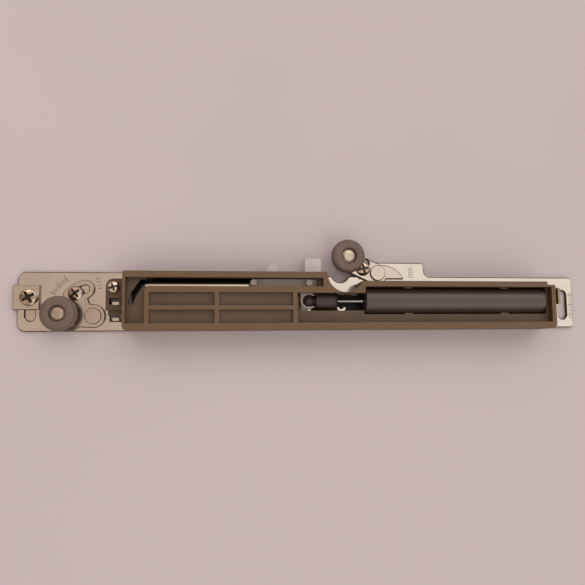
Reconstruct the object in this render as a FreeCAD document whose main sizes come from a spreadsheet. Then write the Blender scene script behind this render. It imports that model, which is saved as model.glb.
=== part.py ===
import FreeCAD, Part
import math
import os
import Sketcher
from types import SimpleNamespace

# Soft close damper for a sliding cabinet door: a plated steel back plate carries a moulded
# housing with an oil damper, a spring and a sliding catch, two adjustable guide rollers and an
# end clamp. X runs along the plate, Y across it towards the catch's fingers, Z out of the
# plate's back face. The damper's axis lies above the line Y = 0.

# Driving dimensions, in millimetres and degrees
SIZES = {
    # clearances
    "running_clearance": 0.05,
    "slide_clearance": 0.25,
    "moving_gap": 0.3,
    # back plate
    "plate_thickness": 1.6,
    "head_reach": 32.5,
    "head_top": 13.4,
    "head_bottom": 12.9,
    "head_overlap": 2.0,
    "head_corner": 3.6,
    "step_corner": 0.6,
    "strip_top": 12.1,
    "strip_bottom": 12.2,
    "strip_margin": 16.65,
    "strip_corner": 1.7,
    "bump_before": 8.4,
    "bump_after": 23.2,
    "bump_rise": 5.15,
    "bump_corner": 1.4,
    "bump_foot": 3.0,
    "notch_radius": 4.35,
    "notch_rise": 1.55,
    "notch_shift": 0.07,
    "slot_inset": 5.5,
    "slot_drop": 1.2,
    "slot_length": 14.1,
    "slot_width": 4.3,
    # lanced tabs and hook
    "tab_width": 2.8,
    "tab_sheet": 1.3,
    "upper_tab_top": 5.0,
    "lower_tab_top": 4.2,
    "tab_window_height": 2.2,
    "hook_width": 7.8,
    "hook_clear": 1.7,
    "hook_middle": 2.83,
    "hook_sheet": 1.1,
    "hook_height": 3.25,
    # damper
    "damper_diameter": 12.0,
    "damper_start": 23.2,
    "damper_length": 86.2,
    "damper_wall": 1.0,
    "cradle_height": 0.6,
    "gland_length": 9.0,
    "seal_length": 2.0,
    "seal_radius": 3.0,
    "cap_length": 6.0,
    "cap_nose": 0.8,
    "rod_diameter": 2.0,
    "rod_grip": 5.5,
    "piston_length": 6.0,
    "piston_rest_gap": 3.0,
    "ball_diameter": 5.2,
    "ball_x": -2.4,
    "neck_diameter": 3.0,
    "neck_reach": 3.2,
    "adapter_diameter": 7.5,
    "adapter_length": 10.0,
    "adapter_nose": 1.4,
    # housing
    "rim_stand": 0.8,
    "deck_depth": 3.2,
    "deck_thickness": 1.2,
    "recess_depth": 1.6,
    "roof_thickness": 1.0,
    "chamber_clearance": 0.2,
    "chamber_gap": 0.6,
    "end_ledge": 1.35,
    "end_wall": 2.0,
    "end_drop": 1.5,
    "end_step": 3.85,
    "shoulder_wall": 2.5,
    "ledge_width": 3.75,
    "bottom_wall": 3.1,
    "guide_low": 6.0,
    "guide_width": 3.9,
    "guide_run_out": 6.0,
    "guide_ledge": 2.0,
    "rail_width": 2.57,
    "rail_end": 1.9,
    "top_wall": 2.7,
    "beam_underside": 8.5,
    "finger_slit_margin": 2.6,
    "left_wall": 1.25,
    "left_box_length": 7.95,
    "box_entry": 1.1,
    "hook_slot_width": 3.0,
    "hook_slot_bend_drop": 5.3,
    "hook_slot_bend_shift": 3.7,
    "hook_slot_drop": 8.4,
    "hook_slot_shift": 4.8,
    "housing_corner": 2.3,
    "top_corner": 0.8,
    "rib_width": 2.0,
    "first_panel": 27.8,
    "second_panel": 32.2,
    "cross_rib_width": 1.8,
    "cross_rib_y": -3.22,
    "pocket_low": 4.5,
    "pocket_high": 3.3,
    "pocket_floor": 1.0,
    "floor_window_x": 14.2,
    "floor_window_radius": 2.15,
    "floor_boss_radius": 0.9,
    "scoop_clearance": 0.8,
    "scoop_swing": 29.79,
    "scoop_ahead": 0.79,
    "scoop_wall": 0.9,
    "scoop_tip": 1.2,
    "neck_half": 4.6,
    "neck_slope": 1.8,
    "relief_height": 2.1,
    "relief_room": 1.0,
    "saddle_width": 1.6,
    "saddle_height": 4.2,
    "saddle_inset": 1.8,
    "nub_length": 3.7,
    "nub_reach": 0.6,
    "first_nub": 20.47,
    "second_nub": 66.58,
    "lug_length": 8.45,
    "lug_top": 10.2,
    "lug_low": -3.8,
    "lug_height": 4.0,
    "lug_step_low": -6.2,
    "lug_step_height": 2.8,
    "lug_step_inset": 0.95,
    "lug_corner": 3.4,
    "lug_screw_inset": 3.35,
    "lug_screw_y": 6.3,
    "window_margin": 1.5,
    "window_low": -1.4,
    "window_height": 3.0,
    "tongue_thickness": 1.8,
    "tongue_room": 0.5,
    # fasteners
    "housing_screw_head": 5.4,
    "housing_screw_rise": 1.9,
    "housing_screw_shank": 2.9,
    "lock_head": 6.6,
    "lock_rise": 1.9,
    "lock_shank": 3.2,
    "head_dome": 0.8,
    "rivet_head": 7.2,
    "rivet_rise": 1.0,
    "rivet_shank": 5.0,
    "rivet_tail": 4.0,
    "rivet_edge": 0.3,
    # roller arms
    "arm_sheet": 1.5,
    "arm_slot_play": 0.15,
    "left_ring": 5.2,
    "left_ring_gap": 0.45,
    "left_pivot_y": -6.2,
    "left_arm_length": 13.22,
    "left_arm_angle": 176.53,
    "left_slot_radius": 12.5,
    "left_lock_angle": 127.2,
    "left_swing": 20.0,
    "left_lobe": 4.1,
    "left_lobe_extra": 9.0,
    "right_pivot_ahead": 8.2,
    "right_pivot_rise": 4.9,
    "right_arm_length": 16.78,
    "right_arm_angle": 155.34,
    "right_half_width": 4.9,
    "right_arm_offset": 0.6,
    "right_slot_radius": 7.27,
    "right_lock_angle": 164.4,
    "right_swing": 24.0,
    "tail_radius": 11.8,
    "tail_ahead": 2.06,
    "tail_centre_drop": 7.83,
    "tail_drop": 2.7,
    # rollers
    "roller_diameter": 15.3,
    "roller_width": 6.4,
    "roller_edge": 2.2,
    "roller_foot_edge": 2.8,
    "roller_recess": 7.0,
    "roller_recess_depth": 2.0,
    "axle_diameter": 3.8,
    "axle_shoulder": 6.0,
    "axle_head": 4.8,
    "axle_rise": 1.0,
    "bush_wall": 0.7,
    "bush_flange": 5.8,
    "bush_flange_thickness": 0.3,
    # catch
    "catch_stroke": 48.0,
    "bar_start": -28.9,
    "bar_length": 30.5,
    "bar_top": 10.0,
    "bar_low": 7.0,
    "pin_diameter": 2.8,
    "pin_top": 12.6,
    "front_pin_x": -27.3,
    "rear_pin_x": -2.5,
    "finger_low": 2.4,
    "finger_top": 8.0,
    "tall_tab_width": 7.3,
    "tall_tab_reach": 19.6,
    "tall_tab_x": 0.0,
    "low_finger_reach": 16.9,
    "low_finger_width": 3.4,
    "low_finger_ramp": 2.2,
    "striker_gap": 12.7,
    "socket_wall": 0.85,
    "socket_play": 0.2,
    "socket_low": 5.2,
    "socket_mouth": 2.3,
    "link_width": 4.0,
    "link_low": 6.0,
    "spring_arm_width": 3.0,
    "spring_arm_top": 9.0,
    # spring
    "spring_diameter": 3.6,
    "spring_wire": 0.6,
    "spring_stand": 1.2,
    "eye_radius": 1.35,
    "eye_bar": 0.44,
    "post_radius": 0.8,
    "catch_post_x": -4.4,
    "anchor_inset": 1.9,
    # end clamp
    "clamp_width": 9.8,
    "clamp_height": 10.9,
    "clamp_sheet": 1.5,
    "clamp_flange_gap": 0.05,
    "clamp_screw_y": 2.0,
    "clamp_screw_head": 8.0,
    "clamp_screw_rise": 2.2,
    "clamp_screw_shank": 3.9,
    "nut_flange": 7.6,
    "nut_tail": 6.4,
    "nut_travel": 2.6,
    "nut_flange_thickness": 0.7,
    "nut_neck": 6.0,
    "nut_room": 0.2,
}

doc = FreeCAD.newDocument("soft_close_damper")
sheet = doc.addObject("Spreadsheet::Sheet", "dims")
for row, (alias, number) in enumerate(SIZES.items(), start=1):
    sheet.set(f"A{row}", alias)
    sheet.set(f"B{row}", str(number))
    sheet.setAlias(f"B{row}", alias)
doc.recompute()


class Size:
    """A length or an angle: its number now, and the sheet formula that binds it in the document."""

    def __init__(self, number, formula):
        self.number = number
        self.formula = formula

    def joined(self, sign, other, number):
        return Size(number, f"({self.formula} {sign} {other.formula})")

    def __add__(self, other):
        other = as_size(other)
        return self.joined("+", other, self.number + other.number)

    def __sub__(self, other):
        other = as_size(other)
        return self.joined("-", other, self.number - other.number)

    def __mul__(self, other):
        other = as_size(other)
        return self.joined("*", other, self.number * other.number)

    def __truediv__(self, other):
        other = as_size(other)
        return self.joined("/", other, self.number / other.number)

    def __neg__(self):
        return Size(-self.number, f"(0 - {self.formula})")


def as_size(value):
    return value if isinstance(value, Size) else Size(float(value), f"{float(value)}")


def cosine(angle):
    return Size(math.cos(math.radians(angle.number)), f"cos({angle.formula})")


def sine(angle):
    return Size(math.sin(math.radians(angle.number)), f"sin({angle.formula})")


def polar(radius, angle):
    return (radius * cosine(angle), radius * sine(angle))


def shifted(corner, step):
    return (corner[0] + step[0], corner[1] + step[1])


d = SimpleNamespace(**{name: Size(float(sheet.get(name)), f"dims.{name}") for name in SIZES})
ZERO = as_size(0)
HALF_TURN = as_size(180)
QUARTER_TURN = as_size(90)
UP = FreeCAD.Vector(0, 0, 1)

# How near two places are one place
NEAR = 0.001

# Ends and centres of sketch geometry, and the sketch's own root point
START, END, CENTRE = range(1, 4)
ROOT = (-1, 1)


def vector(corner):
    return FreeCAD.Vector(corner[0].number, corner[1].number, 0)


def bind(thing, target, size):
    thing.setExpression(target, size.formula)


def bind_datum(sketch, kind, place, size):
    index = sketch.addConstraint(Sketcher.Constraint(kind, *place, size.number))
    bind(sketch, f"Constraints[{index}]", size)


def pin_point(sketch, index, end, corner):
    bind_datum(sketch, "DistanceX", (*ROOT, index, end), corner[0])
    bind_datum(sketch, "DistanceY", (*ROOT, index, end), corner[1])


def join(sketch, first, second):
    sketch.addConstraint(Sketcher.Constraint("Coincident", *first, *second))


def polygon(*corners):
    """A closed outline of straight sides."""
    count = len(corners)

    def draw(sketch):
        base = sketch.GeometryCount
        for index, corner in enumerate(corners):
            after = corners[(index + 1) % count]
            sketch.addGeometry(Part.LineSegment(vector(corner), vector(after)), False)
        for index, corner in enumerate(corners):
            join(sketch, (base + index, END), (base + (index + 1) % count, START))
            pin_point(sketch, base + index, START, corner)
    return draw


def rectangle(left, right, low, high):
    return polygon((left, low), (right, low), (right, high), (left, high))


def circle(centre, radius):
    def draw(sketch):
        index = sketch.addGeometry(Part.Circle(vector(centre), UP, radius.number), False)
        pin_point(sketch, index, CENTRE, centre)
        bind_datum(sketch, "Radius", (index,), radius)
    return draw


def arc_of(centre, radius, first, last):
    """An arc drawn anticlockwise between two angles in degrees."""
    ring = Part.Circle(vector(centre), UP, radius.number)
    return Part.ArcOfCircle(ring, math.radians(first), math.radians(last))


def round_slot(start, end, radius):
    """A straight slot with round ends about two centres."""
    heading = math.degrees(math.atan2((end[1] - start[1]).number, (end[0] - start[0]).number))
    quarter, half = QUARTER_TURN.number, HALF_TURN.number

    def draw(sketch):
        far = arc_of(end, radius, heading - quarter, heading + quarter)
        near = arc_of(start, radius, heading + quarter, heading + quarter + half)
        base = sketch.addGeometry(far, False)
        sketch.addGeometry(Part.LineSegment(far.EndPoint, near.StartPoint), False)
        sketch.addGeometry(near, False)
        sketch.addGeometry(Part.LineSegment(near.EndPoint, far.StartPoint), False)
        sides = [base, base + 1, base + 2, base + 3]
        for side, after in zip(sides, sides[1:] + sides[:1]):
            sketch.addConstraint(Sketcher.Constraint("Tangent", side, END, after, START))
        for index, centre in ((base, end), (base + 2, start)):
            pin_point(sketch, index, CENTRE, centre)
            bind_datum(sketch, "Radius", (index,), radius)
    return draw


def arc_slot(radius, half_width, first, last):
    """A curved slot about the sketch's root, with round ends at two angles."""
    half = HALF_TURN.number
    root = (ZERO, ZERO)

    def draw(sketch):
        outer = arc_of(root, radius + half_width, first.number, last.number)
        last_cap = arc_of(polar(radius, last), half_width, last.number, last.number + half)
        inner = arc_of(root, radius - half_width, first.number, last.number)
        first_cap = arc_of(polar(radius, first), half_width, first.number + half, first.number + 2 * half)
        base = sketch.GeometryCount
        for arc in (outer, last_cap, inner, first_cap):
            sketch.addGeometry(arc, False)
        for side, end, after, start in (
                (0, END, 1, START), (1, END, 2, END), (2, START, 3, START), (3, END, 0, START)):
            sketch.addConstraint(Sketcher.Constraint("Tangent", base + side, end, base + after, start))
        for index, size in ((base, radius + half_width), (base + 2, radius - half_width)):
            join(sketch, (index, CENTRE), ROOT)
            bind_datum(sketch, "Radius", (index,), size)
        for index, angle in ((base + 1, last), (base + 3, first)):
            across, up = polar(radius, angle)
            if abs(across.number) < abs(up.number):
                bind_datum(sketch, "DistanceX", (*ROOT, index, CENTRE), across)
            else:
                bind_datum(sketch, "DistanceY", (*ROOT, index, CENTRE), up)
    return draw


def disc_part(centre, radius, level, above):
    """The part of a disc that lies above or below a level chord."""
    lift = math.degrees(math.asin((level - centre[1]).number / radius.number))
    half = HALF_TURN.number
    first, last = (lift, half - lift) if above else (half - lift, 2 * half + lift)

    def draw(sketch):
        rim_arc = arc_of(centre, radius, first, last)
        index = sketch.addGeometry(rim_arc, False)
        chord = sketch.addGeometry(Part.LineSegment(rim_arc.EndPoint, rim_arc.StartPoint), False)
        join(sketch, (index, END), (chord, START))
        join(sketch, (chord, END), (index, START))
        sketch.addConstraint(Sketcher.Constraint("Horizontal", chord))
        pin_point(sketch, index, CENTRE, centre)
        bind_datum(sketch, "Radius", (index,), radius)
        bind_datum(sketch, "DistanceY", (*ROOT, chord, START), level)
    return draw


def new_body(name):
    body = doc.addObject("PartDesign::Body", name)
    body.Label = name
    return body


def draw_on(body, plane, level, shapes):
    sketch = body.newObject("Sketcher::SketchObject", f"{body.Name}_sketch")
    support = next(item for item in body.Origin.OriginFeatures if item.Role == plane)
    sketch.AttachmentSupport = [(support, "")]
    sketch.MapMode = "FlatFace"
    bind(sketch, "AttachmentOffset.Base.z", level)
    for shape in shapes:
        shape(sketch)
    return sketch


def extrude(body, kind, plane, level, length, shapes):
    sketch = draw_on(body, plane, level, shapes)
    feature = body.newObject(f"PartDesign::{kind}", f"{body.Name}_{kind.lower()}")
    feature.Profile = sketch
    bind(feature, "Length", length)
    return feature


def add(body, low, high, *shapes):
    """Material between two heights."""
    return extrude(body, "Pad", "XY_Plane", low, high - low, shapes)


def cut(body, low, high, *shapes):
    """A cut between two heights, drawn at the upper one and taken downwards."""
    return extrude(body, "Pocket", "XY_Plane", high, high - low, shapes)


def cut_along(body, start, stop, *shapes):
    """A cut along X between two stations, drawn in Y and Z at the far one."""
    return extrude(body, "Pocket", "YZ_Plane", stop, stop - start, shapes)


def finish_edges(body, kind, target, size, wanted):
    """Fillet or chamfer the edges of the body so far that the test picks."""
    doc.recompute()
    base = body.Tip
    names = [f"Edge{index}" for index, edge in enumerate(base.Shape.Edges, start=1) if wanted(edge)]
    feature = body.newObject(f"PartDesign::{kind}", f"{body.Name}_{kind.lower()}")
    feature.Base = (base, names)
    bind(feature, target, size)


def round_uprights(body, radius, *corners):
    """Round the upright edges that stand at the given corners."""

    def stands_here(edge):
        ends = [vertex.Point for vertex in edge.Vertexes]
        upright = len(ends) == 2 and math.hypot(ends[0].x - ends[1].x, ends[0].y - ends[1].y) < NEAR
        places = [vector(corner) for corner in corners]
        return upright and any(math.hypot(ends[0].x - p.x, ends[0].y - p.y) < NEAR for p in places)
    finish_edges(body, "Fillet", "Radius", radius, stands_here)


def ease_rim(body, kind, size, radius, height):
    """Round or chamfer a circular edge of a turned piece, given by its radius and height."""

    def is_rim(edge):
        if edge.Curve.TypeId != "Part::GeomCircle":
            return False
        level = abs(edge.Curve.Center.z - height.number) < NEAR
        return level and abs(edge.Curve.Radius - radius.number) < NEAR
    finish_edges(body, kind, {"Fillet": "Radius", "Chamfer": "Size"}[kind], size, is_rim)


def place(body, x, y, z):
    bind(body, "Placement.Base.x", x)
    bind(body, "Placement.Base.y", y)
    bind(body, "Placement.Base.z", z)


def turned(name, axis, profile):
    """A piece of revolution: its half section is radius and height about Z, or station and radius about X."""
    plane, line = {"Z": ("XZ_Plane", "V_Axis"), "X": ("XY_Plane", "H_Axis")}[axis]
    body = new_body(name)
    sketch = draw_on(body, plane, ZERO, [polygon(*profile)])
    turn = body.newObject("PartDesign::Revolution", f"{name}_turn")
    turn.Profile = sketch
    turn.ReferenceAxis = (sketch, [line])
    turn.Angle = 2 * HALF_TURN.number
    return body


# Heights and stations that several pieces share
plate_top = d.plate_thickness
damper_radius = d.damper_diameter / 2
chamber_half = damper_radius + d.chamber_clearance
axis_height = plate_top + d.cradle_height + damper_radius
rim = axis_height + damper_radius + d.rim_stand
deck_top = rim - d.deck_depth
deck_underside = deck_top - d.deck_thickness
recess_floor = rim - d.recess_depth
roof_underside = recess_floor - d.roof_thickness
damper_end = d.damper_start + d.damper_length
chamber_start = d.damper_start - d.chamber_gap
chamber_end = damper_end + d.chamber_gap
deck_end = chamber_end + d.end_ledge
housing_right = deck_end + d.end_wall
shoulder_top = chamber_half + d.shoulder_wall
cavity_low = -(chamber_half + d.ledge_width)
housing_bottom = cavity_low - d.bottom_wall
guide_high = d.guide_low + d.guide_width
guide_middle = d.guide_low + d.guide_width / 2
housing_top = guide_high + d.top_wall
rail_low = d.guide_low - d.rail_width
guide_right = d.rear_pin_x + d.guide_run_out
left_box_right = d.front_pin_x - d.catch_stroke + d.box_entry
left_box_left = left_box_right - d.left_box_length
housing_left = left_box_left - d.left_wall
lug_left = housing_left - d.lug_length
left_pivot = (lug_left - d.left_ring_gap - d.left_ring, d.left_pivot_y)
right_pivot = (d.damper_start + d.right_pivot_ahead, shoulder_top + d.right_pivot_rise)
left_axle = shifted(left_pivot, polar(d.left_arm_length, d.left_arm_angle))
right_axle = shifted(right_pivot, polar(d.right_arm_length, d.right_arm_angle))
left_lock = shifted(left_pivot, polar(d.left_slot_radius, d.left_lock_angle))
right_lock = shifted(right_pivot, polar(d.right_slot_radius, d.right_lock_angle))
scoop_reach = d.right_arm_length + d.scoop_ahead
scoop_centre = shifted(right_pivot, polar(scoop_reach, d.right_arm_angle + d.scoop_swing))
scoop_radius = d.roller_diameter / 2 + d.scoop_clearance
lug_screw = (lug_left + d.lug_screw_inset, d.lug_screw_y)
plate_left = left_pivot[0] - d.head_reach
plate_right = housing_right + d.strip_margin
left_slot_x = plate_left + d.slot_inset
right_slot_x = plate_right - d.slot_inset
slot_reach = (d.slot_length - d.slot_width) / 2
arm_low = plate_top + d.running_clearance
arm_top = arm_low + d.arm_sheet
head_low = arm_top + d.running_clearance
roller_low = head_low + d.lock_rise + d.slide_clearance
window_left = lug_left + d.window_margin
window_right = housing_left - d.window_margin
tab_middle = (window_left + window_right) / 2
hook_inner = right_slot_x - d.slot_width / 2 - d.hook_clear
spring_radius = d.spring_diameter / 2
spring_y = -(chamber_half + d.ledge_width / 2)
spring_height = plate_top + d.spring_stand + spring_radius
anchor_x = chamber_end - d.anchor_inset
tongue_top = plate_top + d.tongue_thickness
nut_flange_low = d.clamp_screw_y - d.nut_flange / 2 - d.nut_tail


def base_plate():
    """Stamped back plate: a wide head, a long strip, a bump under the right arm and lanced tabs."""
    body = new_body("base_plate")
    head_right = housing_left + d.head_overlap
    bump_left = right_pivot[0] - d.bump_before
    bump_right = right_pivot[0] + d.bump_after
    bump_top = right_pivot[1] + d.bump_rise
    head_low_corner = (plate_left, -d.head_bottom)
    head_high_corner = (plate_left, d.head_top)
    step_low = (head_right, -d.head_bottom)
    step_high = (head_right, d.head_top)
    strip_low = (plate_right, -d.strip_bottom)
    strip_high = (plate_right, d.strip_top)
    bump_corners = ((bump_right, bump_top), (bump_left, bump_top))
    bump_feet = ((bump_right, d.strip_top), (bump_left, d.strip_top))
    add(body, ZERO, plate_top, polygon(
        head_low_corner, step_low, (head_right, -d.strip_bottom), strip_low, strip_high,
        bump_feet[0], bump_corners[0], bump_corners[1], bump_feet[1],
        (head_right, d.strip_top), step_high, head_high_corner))
    round_uprights(body, d.head_corner, head_low_corner, head_high_corner)
    round_uprights(body, d.strip_corner, strip_low, strip_high)
    round_uprights(body, d.step_corner, step_low, step_high)
    round_uprights(body, d.bump_corner, *bump_corners)
    round_uprights(body, d.bump_foot, bump_feet[0])
    notch = (scoop_centre[0] - d.notch_shift, d.strip_top + d.notch_rise)
    cut(body, ZERO, plate_top, circle(notch, d.notch_radius))
    for x in (left_slot_x, right_slot_x):
        ends = ((x, -d.slot_drop - slot_reach), (x, -d.slot_drop + slot_reach))
        cut(body, ZERO, plate_top, round_slot(*ends, d.slot_width / 2))
    # coined rebate behind the left slot, in which the clamp's nut slides
    rebate_half = d.nut_flange / 2 + d.nut_room
    rebate_high = d.slot_length / 2 - d.slot_drop + d.nut_room + (d.nut_flange - d.nut_neck) / 2
    rebate_top = d.nut_flange_thickness + d.running_clearance
    cut(body, ZERO, rebate_top, rectangle(
        left_slot_x - rebate_half, left_slot_x + rebate_half,
        nut_flange_low - d.nut_travel - d.nut_room, rebate_high))
    # holes for the rivets and screws
    for centre in (left_pivot, right_pivot):
        cut(body, ZERO, plate_top, circle(centre, d.rivet_tail / 2 + d.running_clearance))
    for centre in (left_lock, right_lock):
        cut(body, ZERO, plate_top, circle(centre, d.lock_shank / 2 + d.running_clearance))
    cut(body, ZERO, plate_top, circle(lug_screw, d.housing_screw_shank / 2 + d.running_clearance))
    # tabs bent up beside their lanced windows, and the hook on which the housing's tongue butts
    tab_left = tab_middle - d.tab_width / 2
    tab_right = tab_middle + d.tab_width / 2
    lower_window_low = d.lug_step_low - d.tab_window_height
    for low, window_height, top in (
            (d.window_low, d.window_height, d.upper_tab_top),
            (lower_window_low, d.tab_window_height, d.lower_tab_top)):
        cut(body, ZERO, plate_top, rectangle(window_left, window_right, low, low + window_height))
        add(body, ZERO, top, rectangle(tab_left, tab_right, low, low + d.tab_sheet))
    hook_low = d.hook_middle - d.hook_width / 2
    hook_high = d.hook_middle + d.hook_width / 2
    hook_outer = hook_inner + d.hook_sheet
    cut(body, ZERO, plate_top, rectangle(hook_inner - d.hook_height, hook_inner, hook_low, hook_high))
    add(body, ZERO, plate_top + d.hook_height, rectangle(hook_inner, hook_outer, hook_low, hook_high))
    return body


def housing_shell(body):
    """The moulding's outline, its hollow underside and the roller's scoop."""
    low_left = (housing_left, housing_bottom)
    low_right = (housing_right, housing_bottom)
    top_left = (housing_left, housing_top)
    nose_top = shoulder_top - d.end_drop
    nose = (housing_right, nose_top)
    shoulder = (housing_right - d.end_step, shoulder_top)
    add(body, plate_top, rim, polygon(
        low_left, low_right, nose, (shoulder[0], nose_top), shoulder,
        (scoop_centre[0], shoulder_top), (scoop_centre[0], housing_top), top_left))
    round_uprights(body, d.housing_corner, low_left, low_right)
    round_uprights(body, d.top_corner, top_left, nose, shoulder)
    cut(body, plate_top, rim, circle(scoop_centre, scoop_radius))
    tip_reach = math.sqrt(scoop_radius.number ** 2 - (housing_top - scoop_centre[1]).number ** 2)
    round_uprights(body, d.scoop_tip, (scoop_centre[0] - tip_reach, housing_top))
    # the hollow below the deck: catch and spring on the left, damper and spring on the right
    scoop_low = scoop_centre[1] - scoop_radius - d.scoop_wall
    neck_left = scoop_centre[0] - d.neck_half
    neck_right = scoop_centre[0] + d.neck_half
    passage_high = d.adapter_diameter / 2 + d.moving_gap
    slit_right = d.tall_tab_x + d.tall_tab_width / 2 + d.moving_gap
    cut(body, plate_top, deck_underside, polygon(
        (left_box_left, cavity_low), (chamber_end, cavity_low), (chamber_end, chamber_half),
        (chamber_start, chamber_half), (chamber_start, passage_high), (neck_right, passage_high),
        (neck_right - d.neck_slope, scoop_low), (neck_left + d.neck_slope, scoop_low),
        (neck_left, passage_high), (slit_right, passage_high), (slit_right, guide_high),
        (left_box_left, guide_high)))
    # the catch's fingers leave through a slit under the upper beam
    slit_left = left_box_right + d.finger_slit_margin
    cut(body, plate_top, d.beam_underside, rectangle(slit_left, slit_right, guide_high, housing_top))
    # the right arm swings in a relief under the shoulder
    relief_low = right_pivot[1] - d.right_half_width - d.right_arm_offset - d.relief_room
    cut(body, plate_top, plate_top + d.relief_height, rectangle(
        scoop_centre[0], right_pivot[0] + d.right_half_width + d.slide_clearance, relief_low, shoulder_top))


def housing_top_side(body):
    """What the moulding shows from above: guide slot, J-slot, ribbed cover, pocket and damper chamber."""
    first_left = left_box_right + d.rib_width
    first_right = first_left + d.first_panel
    second_left = first_right + d.rib_width
    second_right = second_left + d.second_panel
    deck_left = second_right + d.rib_width
    rail_corner = (left_box_right, d.guide_low)
    cut(body, deck_top, rim, polygon(
        (left_box_left, cavity_low), (left_box_right, cavity_low), rail_corner, (guide_right, d.guide_low),
        (guide_right, guide_high), (left_box_left, guide_high)))
    round_uprights(body, d.rail_end, rail_corner)
    cut(body, deck_underside, deck_top, rectangle(
        left_box_right, guide_right - d.guide_ledge, d.guide_low, guide_high))
    # the J-slot takes the front pin down at the end of its travel
    turn_x = left_box_right - d.box_entry
    slot_path = (
        (left_box_right + d.hook_slot_width, guide_middle), (turn_x, guide_middle),
        (turn_x - d.hook_slot_bend_shift, guide_middle - d.hook_slot_bend_drop),
        (turn_x - d.hook_slot_shift, guide_middle - d.hook_slot_drop))
    for start, stop in zip(slot_path, slot_path[1:]):
        cut(body, deck_underside, deck_top, round_slot(start, stop, d.hook_slot_width / 2))
    # the ribbed cover: two rows of two shallow panels
    cross_low = d.cross_rib_y - d.cross_rib_width / 2
    cross_high = d.cross_rib_y + d.cross_rib_width / 2
    for panel_left, panel_right in ((first_left, first_right), (second_left, second_right)):
        cut(body, recess_floor, rim,
            rectangle(panel_left, panel_right, cross_high, rail_low),
            rectangle(panel_left, panel_right, cavity_low, cross_low))
    # under it the catch's socket and the rod's adapter run back, out of the pocket
    cut(body, deck_underside, roof_underside, polygon(
        (first_left, cavity_low), (second_right, cavity_low), (second_right, -d.pocket_low),
        (deck_left, -d.pocket_low), (deck_left, d.pocket_high), (second_right, d.pocket_high),
        (second_right, rail_low), (first_left, rail_low)))
    # the lower level right of the cover, with the rod's pocket and the damper's chamber
    cut(body, deck_top, rim, polygon(
        (deck_left, cavity_low), (deck_end, cavity_low), (deck_end, chamber_half),
        (chamber_start, chamber_half), (chamber_start, d.pocket_high), (deck_left, d.pocket_high)))
    cut(body, deck_underside, deck_top, polygon(
        (deck_left, -d.pocket_low), (chamber_start, -d.pocket_low),
        (chamber_start, -chamber_half), (chamber_end, -chamber_half), (chamber_end, chamber_half),
        (chamber_start, chamber_half), (chamber_start, d.pocket_high), (deck_left, d.pocket_high)))


def housing_inside(body):
    """Pocket floor, saddles under the damper, snap nubs and the spring's anchor post."""
    floor_left = d.ball_x + d.neck_reach + d.socket_wall
    scoop_low = scoop_centre[1] - scoop_radius
    window = (d.floor_window_x, -d.pocket_low + d.floor_window_radius)
    floor_top = plate_top + d.pocket_floor
    add(body, plate_top, floor_top, rectangle(
        floor_left, chamber_start + d.chamber_gap, cavity_low - d.left_wall, scoop_low - d.scoop_wall / 2))
    cut(body, plate_top, floor_top, disc_part(window, d.floor_window_radius, window[1], above=False))
    add(body, plate_top, floor_top, circle(window, d.floor_boss_radius))
    saddle_top = plate_top + d.saddle_height
    saddle_xs = [chamber_start + d.saddle_inset, (chamber_start + chamber_end) / 2,
                 chamber_end - d.saddle_width - d.saddle_inset]
    for left in saddle_xs:
        add(body, plate_top, saddle_top, rectangle(
            left, left + d.saddle_width, -chamber_half, chamber_half + d.left_wall))
    cut_along(body, chamber_start, chamber_end, circle((ZERO, axis_height), chamber_half))
    for start in (d.first_nub, d.second_nub):
        left = chamber_start + start - d.saddle_width
        for side in (1, -1):
            wall = chamber_half * side
            add(body, deck_underside, deck_top, rectangle(
                left, left + d.nub_length,
                wall - d.nub_reach * side, wall + d.left_wall * side))
    post_low = spring_height - spring_radius
    add(body, post_low, deck_top, circle((anchor_x, spring_y), d.post_radius))


def housing_fixings(body):
    """The screwed lug on the left with its tab window, and the tongue that butts on the plate's hook."""
    lug_right = housing_left + d.left_wall
    corner = (lug_left, d.lug_top)
    lug_height = plate_top + d.lug_height
    add(body, plate_top, lug_height, polygon(
        (lug_left, d.lug_low), (lug_right, d.lug_low), (lug_right, d.lug_top), corner))
    step_left = lug_left + d.lug_step_inset
    add(body, plate_top, plate_top + d.lug_step_height, rectangle(
        step_left, lug_right, d.lug_step_low, d.lug_low))
    cut(body, plate_top, lug_height, rectangle(
        window_left, window_right, d.window_low, d.window_low + d.window_height))
    cut(body, plate_top, lug_height, circle(lug_screw, d.housing_screw_shank / 2 + d.running_clearance))
    round_uprights(body, d.lug_corner, corner)
    tongue_half = d.hook_width / 2 - d.tongue_room
    tongue_right = hook_inner - d.slide_clearance
    add(body, plate_top, tongue_top, rectangle(
        deck_end, tongue_right, d.hook_middle - tongue_half, d.hook_middle + tongue_half))


def housing():
    body = new_body("housing")
    housing_shell(body)
    housing_top_side(body)
    housing_inside(body)
    housing_fixings(body)
    return body


def headed(name, centre, seat, head, rise, shank, foot, dome):
    """A screw with a domed pan head on its seat and a plain shank down to its foot."""
    length = seat - foot
    body = turned(name, "Z", (
        (ZERO, ZERO), (shank / 2, ZERO), (shank / 2, length), (head / 2, length),
        (head / 2, length + rise), (ZERO, length + rise)))
    ease_rim(body, "Fillet", dome, head / 2, length + rise)
    place(body, *centre, foot)
    return body


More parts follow.
